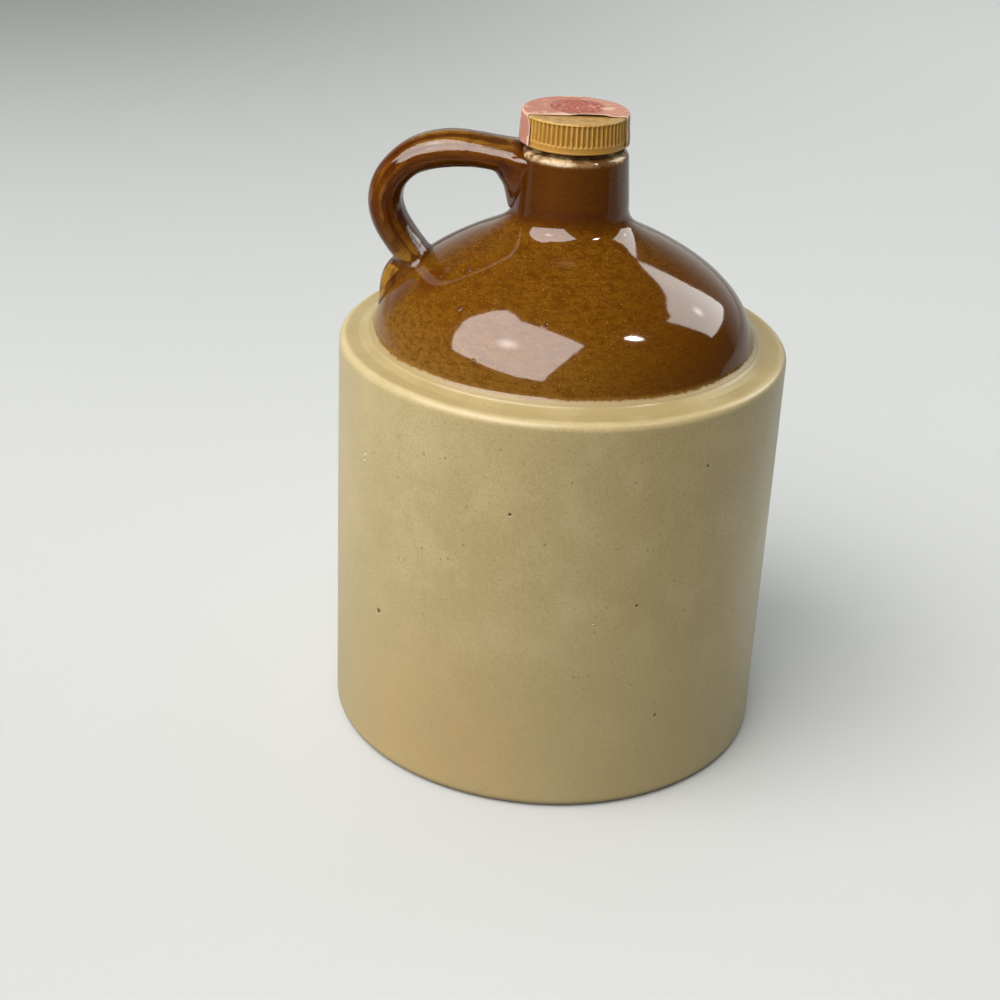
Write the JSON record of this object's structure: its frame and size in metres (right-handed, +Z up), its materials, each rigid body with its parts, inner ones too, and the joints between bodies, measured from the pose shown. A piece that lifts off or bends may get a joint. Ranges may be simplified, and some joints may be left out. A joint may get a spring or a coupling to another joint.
{
  "type": "stoneware jug",
  "caption": "Straight-sided stoneware crock jug with a domed top, a short neck, a strap handle and a ribbed screw cap sealed with a paper strip.",
  "frame": {"origin": "on the jug's own axis, in the plane of the foot ring that it stands on", "axes": "+Z up along the jug's axis; the handle lies on -X; +Y completes the right-handed frame"},
  "size_m": [0.116, 0.116, 0.1673],
  "materials": {
    "tan_glaze": "satin speckled salt-style glaze",
    "brown_glaze": "glossy mottled amber-brown slip glaze",
    "cap_plastic": "satin moulded plastic",
    "pulpboard": "uncoated",
    "liner_film": "smooth film",
    "strip_paper": "matt printed paper"
  },
  "bodies": {
    "jug": {"crock_body": "tan_glaze", "domed_top": "brown_glaze", "handle": "brown_glaze"},
    "liner": {"cap_liner": "pulpboard", "liner_facing": "liner_film"},
    "cap": {"screw_cap": "cap_plastic", "seal_strip": "strip_paper"}
  },
  "joints": [
    {"name": "cap_lift", "type": "slide", "parent": "jug", "child": "liner", "axis": [0, 0, 1], "range_m": [0, 0.0073]},
    {"name": "cap_turn", "type": "hinge", "parent": "liner", "child": "cap", "pos_m": [0, 0, 0.1594], "axis": [0, 0, 1], "range_deg": [0, 810]}
  ],
  "couplings": [
    {"joint": "cap_lift", "follows": "cap_turn", "m_per_rad": 0.0005093}
  ]
}
